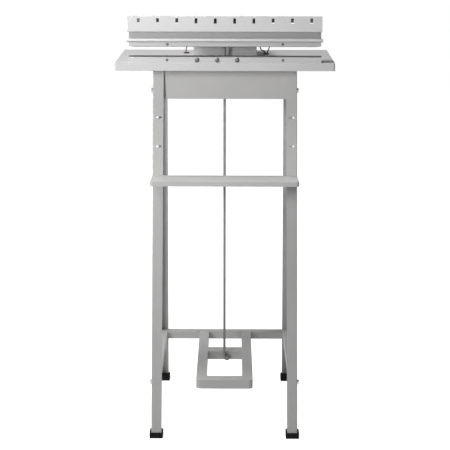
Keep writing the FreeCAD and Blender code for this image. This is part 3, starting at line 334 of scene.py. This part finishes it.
def islands(name):
    """Lowest and highest corner of each separate solid in a CAD node."""
    mesh = bmesh.new()
    mesh.from_mesh(nodes[name].data)
    bmesh.ops.remove_doubles(mesh, verts=mesh.verts, dist=WELD)
    waiting = set(mesh.verts)
    found = []
    while waiting:
        group = {waiting.pop()}
        front = list(group)
        while front:
            vertex = front.pop()
            for edge in vertex.link_edges:
                other = edge.other_vert(vertex)
                if other in waiting:
                    waiting.remove(other)
                    group.add(other)
                    front.append(other)
        low = Vector(min(vertex.co[axis] for vertex in group) for axis in range(3))
        high = Vector(max(vertex.co[axis] for vertex in group) for axis in range(3))
        found.append((low, high))
    mesh.free()
    return sorted(found, key=lambda ends: tuple(round(value, SORT_DIGITS) for value in ends[0]))


def new_piece(name, mesh, material):
    """Turns a finished mesh into an object with one material."""
    data = bpy.data.meshes.new(name)
    mesh.to_mesh(data)
    mesh.free()
    piece = bpy.data.objects.new(name, data)
    scene.collection.objects.link(piece)
    finish_piece(piece, material)
    return piece


# Leads: limp wires from the table's grommets, along the head arm, to the jaw's end terminals
LEAD_RADIUS = 1.4 * MM
RING_SIDES = 10
SPLINE_STEPS = 10
SPLINE_ORDER = 3


def spline_points(name, points):
    """Points along one smooth curve that a route's points guide."""
    curve = bpy.data.curves.new(name, "CURVE")
    curve.dimensions = "3D"
    curve.resolution_u = SPLINE_STEPS
    spline = curve.splines.new("NURBS")
    spline.points.add(len(points) - 1)
    for target, point in zip(spline.points, points):
        target.co = (*point, 1)
    spline.order_u = SPLINE_ORDER
    spline.use_endpoint_u = True
    holder = bpy.data.objects.new(name, curve)
    line = bpy.data.meshes.new_from_object(holder)
    found = [vertex.co.copy() for vertex in line.vertices]
    bpy.data.objects.remove(holder)
    bpy.data.meshes.remove(line)
    return found


def tube(name, points, radius, material):
    """A closed round tube along a line of points."""
    mesh = bmesh.new()
    rings = []
    side = Vector((1, 0, 0))
    for index, point in enumerate(points):
        ahead = (points[min(index + 1, len(points) - 1)] - points[max(index - 1, 0)]).normalized()
        side = (side - ahead * side.dot(ahead)).normalized()
        up = ahead.cross(side)
        ring = []
        for step in range(RING_SIDES):
            angle = 2 * math.pi * step / RING_SIDES
            ring.append(mesh.verts.new(point + (side * math.cos(angle) + up * math.sin(angle)) * radius))
        rings.append(ring)
    for first, second in zip(rings, rings[1:]):
        for step in range(RING_SIDES):
            after = (step + 1) % RING_SIDES
            face = mesh.faces.new((first[step], first[after], second[after], second[step]))
            face.smooth = True
    mesh.faces.new(list(reversed(rings[0])))
    mesh.faces.new(rings[-1])
    bmesh.ops.recalc_face_normals(mesh, faces=mesh.faces)
    return new_piece(name, mesh, material)


# Routes in mm: the CAD tubes' points, with the first bends moved slightly to follow the photograph
LEADS = {
    "lead_red": (red_vinyl, [
        (-92, 30, 884), (-94, 30, 894), (-91, 20, 903), (-82, 0, 915), (-79.5, -34, 929), (-79.5, -80, 937),
        (-86, -112, 939), (-112, -130, 938), (-150, -133, 936.5), (-188, -133.5, 935), (-203, -133.5, 934)]),
    "lead_black": (black_vinyl, [
        (94, 8, 884), (94, 8, 892), (90, 1, 896), (83, -10, 899), (80, -34, 914), (79.5, -70, 933),
        (84, -106, 939.5), (108, -130, 938), (148, -133, 936.5), (188, -133.5, 935), (203, -133.5, 934)]),
    "lead_brown": (brown_vinyl, [
        (98, 8, 884), (98, 8, 892), (102, 2, 900), (104, -14, 911), (101, -45, 926), (104, -85, 937),
        (118, -118, 940), (150, -129, 939.5), (184, -130, 938.5), (203, -130, 937.5)]),
}
# Each route becomes one smooth tube that takes the place of its CAD lead
for node, (material, points) in LEADS.items():
    route = [Vector(point) * MM for point in points]
    line = spline_points(node + "_line", route)
    wire = tube(node + "_wire", line, LEAD_RADIUS, material)
    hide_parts(node)
    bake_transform(wire)

# Release cloth: one strip stretched round the upper jaw's lower edge and held by the clamp strips
CLOTH_THICK = 0.22 * MM
CLOTH_CORNER = 1.2 * MM
CLOTH_STEPS = 160
CLOTH_INSET = 0.25 * MM
SIDE_STEPS = 4
CORNER_STEPS = 4
ACROSS_STEPS = 12
# Ripples under the jaw: height, then waves in radians per metre along it, their drift and their slant
RIPPLE = 0.06 * MM
RIPPLE_ALONG = 310.0
RIPPLE_DRIFT = 47.0
RIPPLE_SWING = 2.0
RIPPLE_SLANT = 260.0
close_head = open_head.inverted()
closed_points = [close_head @ vertex.co for vertex in nodes["release_cloth"].data.vertices]
cloth_low = Vector(min(point[axis] for point in closed_points) for axis in range(3))
cloth_high = Vector(max(point[axis] for point in closed_points) for axis in range(3))


def cloth_profile():
    """The folded strip's path across the jaw: Y, Z and whether the cloth is free to ripple there."""
    front, rear = cloth_low.y + CLOTH_INSET, cloth_high.y - CLOTH_INSET
    bottom, top = cloth_low.z + CLOTH_INSET, cloth_high.z
    bend = bottom + CLOTH_CORNER
    front_bend, rear_bend = front + CLOTH_CORNER, rear - CLOTH_CORNER

    def corner(centre_y, first):
        angles = [math.radians(first + 90 * step / CORNER_STEPS) for step in range(CORNER_STEPS + 1)]
        return [(centre_y + CLOTH_CORNER * math.cos(angle), bend + CLOTH_CORNER * math.sin(angle), 0)
                for angle in angles]

    points = [(front, top + (bend - top) * step / SIDE_STEPS, 0) for step in range(SIDE_STEPS)]
    points += corner(front_bend, 180)
    across = rear_bend - front_bend
    points += [(front_bend + across * step / ACROSS_STEPS, bottom, 1) for step in range(1, ACROSS_STEPS)]
    points += corner(rear_bend, 270)
    points += [(rear, bend + (top - bend) * step / SIDE_STEPS, 0) for step in range(1, SIDE_STEPS + 1)]
    return points


def cloth_strip():
    """The folded strip, as one sheet of faces along the whole jaw."""
    mesh = bmesh.new()
    profile = cloth_profile()
    rows = []
    for step in range(CLOTH_STEPS + 1):
        x = cloth_low.x + (cloth_high.x - cloth_low.x) * step / CLOTH_STEPS
        drift = RIPPLE_SWING * math.sin(x * RIPPLE_DRIFT)
        row = []
        for y, z, free in profile:
            ripple = free * RIPPLE * math.sin(x * RIPPLE_ALONG + drift + y * RIPPLE_SLANT)
            row.append(mesh.verts.new(open_head @ Vector((x, y, z + ripple))))
        rows.append(row)
    for first, second in zip(rows, rows[1:]):
        for index in range(len(profile) - 1):
            face = mesh.faces.new((first[index], first[index + 1], second[index + 1], second[index]))
            face.smooth = True
    return new_piece("release_cloth_strip", mesh, glass_cloth)


cloth = cloth_strip()
thickness = cloth.modifiers.new("thickness", "SOLIDIFY")
thickness.thickness = CLOTH_THICK
thickness.offset = 0.0
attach(cloth, "head")
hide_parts("release_cloth")

# Drive recesses in the screw heads: a hexagon socket in the domes, a cross in the small ones
CUTTER_OUT = 1.0 * MM
CROSS_THIN = 0.28
HEXAGON_SIDES = 6
JAW_MIDDLE_Y = hinge.y - 190 * MM
FORWARDS = -1
BACKWARDS = 1


def hexagon(half_width):
    """Outline of a hexagon socket, as one list of corners."""
    angles = [math.radians(360 / HEXAGON_SIDES * k) for k in range(HEXAGON_SIDES)]
    return [[(half_width * math.cos(angle), half_width * math.sin(angle)) for angle in angles]]


def cross(half_width):
    """Outlines of a cross recess, one for each of its two bars."""
    thin = half_width * CROSS_THIN
    return [[(wide, high), (-wide, high), (-wide, -high), (wide, -high)]
            for wide, high in ((half_width, thin), (thin, half_width))]


def recess(name, body, outlines, depth, facing=None):
    """Cuts a recess into the outer face of each screw in a CAD node."""
    mesh = bmesh.new()
    for low, high in islands(name):
        middle = (low + high) / 2
        towards = facing or (FORWARDS if middle.y < JAW_MIDDLE_Y else BACKWARDS)
        face = low.y if towards == FORWARDS else high.y
        start, end = face + towards * CUTTER_OUT, face - towards * depth
        for outline in outlines:
            outer = [mesh.verts.new((middle.x + x, start, middle.z + z)) for x, z in outline]
            inner = [mesh.verts.new((middle.x + x, end, middle.z + z)) for x, z in outline]
            mesh.faces.new(outer)
            mesh.faces.new(list(reversed(inner)))
            for k in range(len(outline)):
                after = (k + 1) % len(outline)
                mesh.faces.new((outer[after], outer[k], inner[k], inner[after]))
    bmesh.ops.recalc_face_normals(mesh, faces=mesh.faces)
    cutter = new_piece(name + "_recess", mesh, black_plastic)
    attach(cutter, body)
    cutter.hide_render = True
    cutter.hide_viewport = True
    cut = nodes[name].modifiers.new("recess", "BOOLEAN")
    cut.operation = "DIFFERENCE"
    cut.solver = "EXACT"
    cut.use_self = True
    cut.object = cutter


recess("dome_screws", "stand", hexagon(2.6 * MM), depth=1.8 * MM, facing=FORWARDS)
recess("lower_strip_screws", "stand", cross(2.0 * MM), depth=1.0 * MM, facing=FORWARDS)
recess("clamp_screws", "head", cross(2.0 * MM), depth=1.0 * MM)

# Marks printed on the rear panel: a plain scale round the timer knob, and the switch's two states
PRINT_HIGH = 4.2 * MM
PRINT_LIFT = 0.05 * MM
panel_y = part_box("control_box")[1].y
facing_back = Matrix.Rotation(math.pi, 4, "Z") @ Matrix.Rotation(math.pi / 2, 4, "X")


def printed(name, words, x, z):
    """A short text on the rear panel, with its middle at a place."""
    curve = bpy.data.curves.new(name, "FONT")
    curve.body = words
    curve.size = PRINT_HIGH
    curve.align_x = "CENTER"
    curve.align_y = "CENTER"
    curve.extrude = PRINT_LIFT / 2
    text = bpy.data.objects.new(name, curve)
    text.matrix_world = Matrix.Translation((x, panel_y + PRINT_LIFT / 2, z)) @ facing_back
    scene.collection.objects.link(text)
    text.data.materials.append(dark_ink)
    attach(text, "stand")


knob_low, knob_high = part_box("timer_knob")
knob_x = (knob_low.x + knob_high.x) / 2
spindle_low, spindle_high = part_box("timer_dial_spindle")
knob_z = (spindle_low.z + spindle_high.z) / 2
turn_joint = next(joint for joint in frame["joints"] if joint["name"] == "timer_turn")
full_turn = max(turn_joint["range_deg"])
SCALE_RADIUS = 21.5 * MM
TICK_INNER = 15.5 * MM
TICK_OUTER = 18.0 * MM
SCALE_STEPS = 10
TICK_HALF = 0.35 * MM
POINTER_INNER = 2.0 * MM
POINTER_OUTER = 10.5 * MM
POINTER_HALF = 0.6 * MM
SWITCH_MARK_GAP = 6 * MM


def add_mark(mesh, face_y, angle, inner, outer, half_width):
    """Adds one thin printed line that runs outwards from the knob's axis, and returns its direction."""
    outwards = Vector((math.sin(angle), 0, math.cos(angle)))
    sideways = Vector((outwards.z, 0, -outwards.x)) * half_width
    corners = []
    for lift in (0.0, PRINT_LIFT):
        base = Vector((knob_x, face_y + lift, knob_z))
        for reach, way in ((inner, 1), (outer, 1), (outer, -1), (inner, -1)):
            corners.append(mesh.verts.new(base + outwards * reach + sideways * way))
    mesh.faces.new(corners[:4])
    mesh.faces.new(corners[4:])
    for k in range(4):
        after = (k + 1) % 4
        mesh.faces.new((corners[k], corners[after], corners[4 + after], corners[4 + k]))
    bmesh.ops.recalc_face_normals(mesh, faces=mesh.faces)
    return outwards


ticks = bmesh.new()
for step in range(SCALE_STEPS + 1):
    angle = math.radians(full_turn * step / SCALE_STEPS)
    outwards = add_mark(ticks, panel_y, angle, TICK_INNER, TICK_OUTER, TICK_HALF)
    number_at = outwards * SCALE_RADIUS
    printed(f"scale_{step}", str(step), knob_x + number_at.x, knob_z + number_at.z)
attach(new_piece("scale_ticks", ticks, dark_ink), "stand")
pointer = bmesh.new()
add_mark(pointer, knob_high.y, 0.0, POINTER_INNER, POINTER_OUTER, POINTER_HALF)
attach(new_piece("knob_pointer", pointer, white_ink), "knob")
switch_low, switch_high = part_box("switch_housing")
switch_z = (switch_low.z + switch_high.z) / 2
printed("switch_on", "I", switch_high.x + SWITCH_MARK_GAP, switch_z)
printed("switch_off", "O", switch_low.x - SWITCH_MARK_GAP, switch_z)

# Camera at the photograph's viewpoint
CAMERA_AT = Vector((0.016, -3.1742, 1.2314))
PITCH_DOWN = 12.44
YAW_LEFT = 0.292
ROLL = 0.1
SENSOR_WIDE = 36.0
LENS = 108.1
SHIFT_UP = -0.050
FARTHEST = 50.0


def turned(degrees, axis):
    return Matrix.Rotation(math.radians(degrees), 4, axis)


camera_data = bpy.data.cameras.new("camera")
camera_data.sensor_width = SENSOR_WIDE
camera_data.lens = LENS
camera_data.shift_y = SHIFT_UP
camera_data.clip_end = FARTHEST
camera = bpy.data.objects.new("camera", camera_data)
scene.collection.objects.link(camera)
aim = turned(YAW_LEFT, "Z") @ turned(90 - PITCH_DOWN, "X") @ turned(ROLL, "Z")
camera.matrix_world = Matrix.Translation(CAMERA_AT) @ aim
scene.camera = camera

# Pale floor, white surroundings and soft light, mainly from the upper left and from behind
FLOOR_GLOW = 0.92
FLOOR_SIZE = 30.0
FLOOR_LOW = (0.60, 0.60, 0.60)
FLOOR_HIGH = (0.63, 0.63, 0.63)
AMBIENT = 0.14
floor_mesh = bmesh.new()
bmesh.ops.create_grid(floor_mesh, x_segments=1, y_segments=1, size=FLOOR_SIZE)
floor_paint = Nodes("floor")
seen = floor_paint.add("ShaderNodeLightPath")
shows = floor_paint.add("ShaderNodeMath", operation="MAXIMUM")
floor_paint.join(seen.outputs["Is Camera Ray"], shows.inputs[0])
floor_paint.join(seen.outputs["Is Glossy Ray"], shows.inputs[1])
glow = floor_paint.level(shows.outputs["Value"], low=0.0, high=FLOOR_GLOW)
floor_paint.set(base_color=floor_paint.ramp(floor_paint.noise(scale=3.0), FLOOR_LOW, FLOOR_HIGH),
                roughness=0.9, emission_color=(1.0, 1.0, 1.0), emission_strength=glow)
floor = new_piece("floor", floor_mesh, floor_paint.material)

world = bpy.data.worlds.new("surroundings")
world.use_nodes = True
scene.world = world
tree = world.node_tree
path = tree.nodes.new("ShaderNodeLightPath")
background = tree.nodes["Background"]
background.inputs["Color"].default_value = (1, 1, 1, 1)
white_rays = tree.nodes.new("ShaderNodeMath")
white_rays.operation = "MAXIMUM"
tree.links.new(path.outputs["Is Camera Ray"], white_rays.inputs[0])
tree.links.new(path.outputs["Is Transmission Ray"], white_rays.inputs[1])
strength = tree.nodes.new("ShaderNodeMapRange")
strength.inputs["To Min"].default_value = AMBIENT
strength.inputs["To Max"].default_value = 1.0
tree.links.new(white_rays.outputs["Value"], strength.inputs["Value"])
tree.links.new(strength.outputs["Result"], background.inputs["Strength"])


def lamp(name, at, towards, size, power, spread=180.0):
    """A round soft lamp: metres, watts and degrees."""
    data = bpy.data.lights.new(name, "AREA")
    data.shape = "DISK"
    data.size = size
    data.energy = power
    data.spread = math.radians(spread)
    light = bpy.data.objects.new(name, data)
    light.location = at
    light.rotation_euler = (Vector(towards) - Vector(at)).to_track_quat("-Z", "Y").to_euler()
    scene.collection.objects.link(light)


lamp("key", at=(-1.15, -1.5, 1.15), towards=(-0.15, -0.1, 1.05), size=0.6, power=6.8, spread=90.0)
lamp("overhead", at=(-0.7, -0.5, 2.4), towards=(0.0, -0.1, 0.8), size=1.0, power=30.0)
lamp("fill", at=(0.1, -3.2, 1.2), towards=(0.0, 0.0, 0.9), size=1.2, power=3.0)
lamp("back_left", at=(-1.4, 2.6, 0.9), towards=(0.0, 0.1, 0.7), size=1.2, power=34.0)
lamp("back_right", at=(2.3, 1.3, 1.2), towards=(0.0, 0.1, 0.7), size=1.2, power=18.0)
scene.view_settings.view_transform = "Standard"
